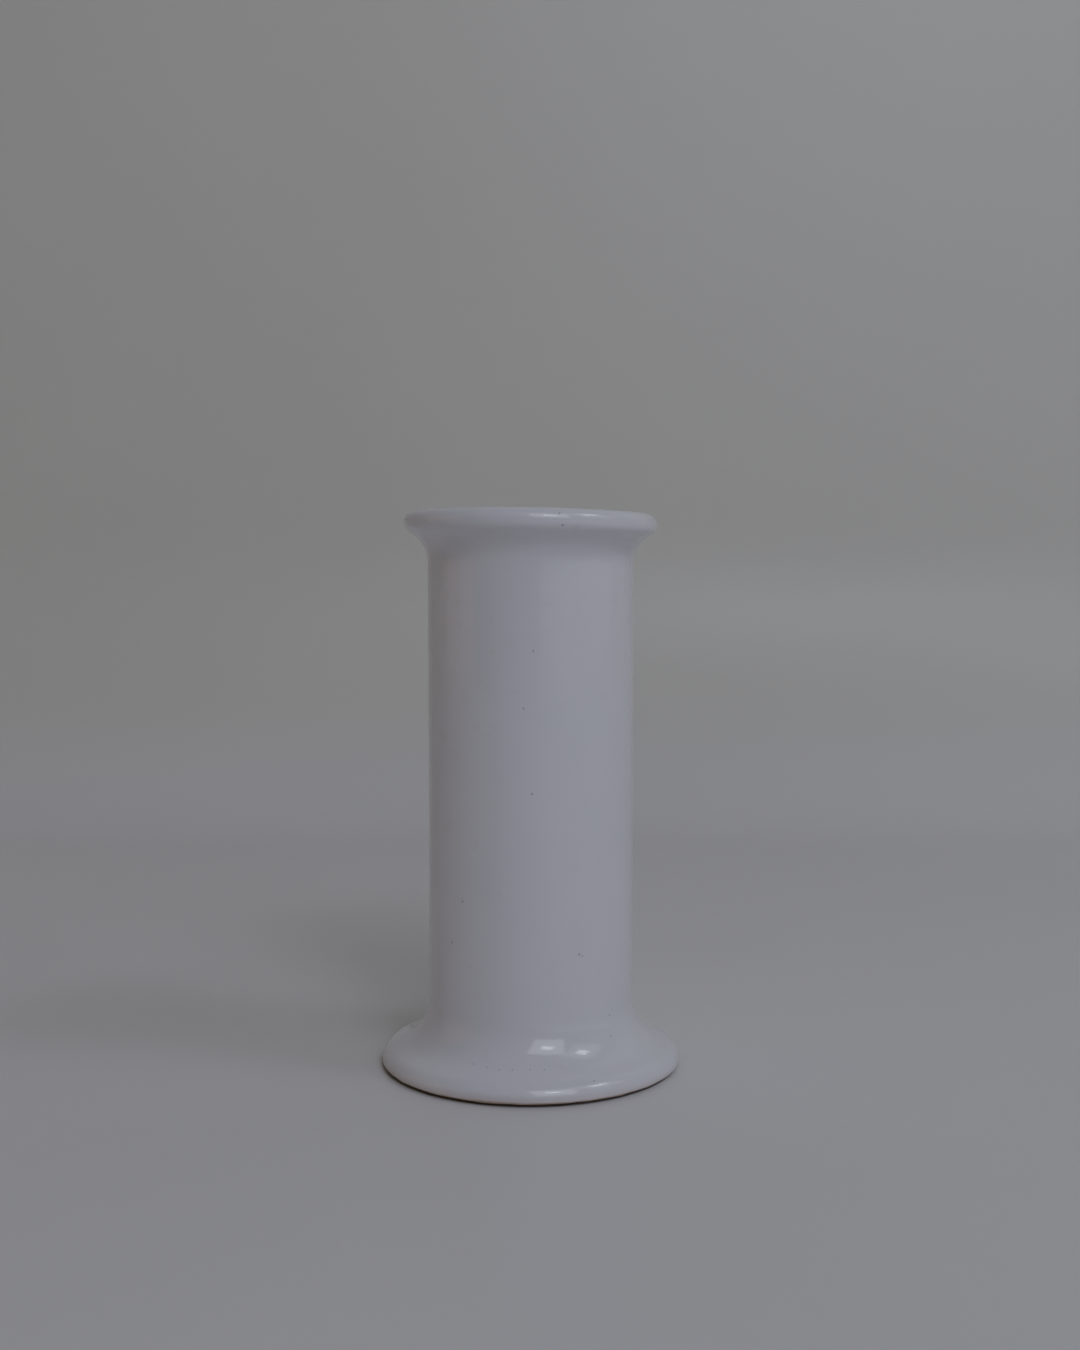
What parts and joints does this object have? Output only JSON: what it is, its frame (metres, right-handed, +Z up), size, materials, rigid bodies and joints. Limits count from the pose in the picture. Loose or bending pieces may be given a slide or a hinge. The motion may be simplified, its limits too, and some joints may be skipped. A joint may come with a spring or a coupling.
{
  "type": "ceramic cylinder vase",
  "caption": "Upright cylinder vase in white glazed ceramic, with a rolled, flared lip, a wide flanged foot and a bare foot ring; it holds water and cut stems.",
  "frame": {"origin": "on the vase's axis, in the plane that the foot ring stands on", "axes": "+Z up along the vase's axis, from the foot to the mouth; the vase is round, so +X and +Y are any two level directions"},
  "size_m": [0.108, 0.108, 0.2],
  "materials": {
    "fired_clay": "matte",
    "white_glaze": "gloss",
    "liner_glaze": "gloss",
    "base_glaze": "gloss"
  },
  "bodies": {
    "root": {"clay_body": "fired_clay", "outer_glaze": "white_glaze", "liner_glaze": "liner_glaze", "base_glaze": "base_glaze"}
  },
  "joints": []
}
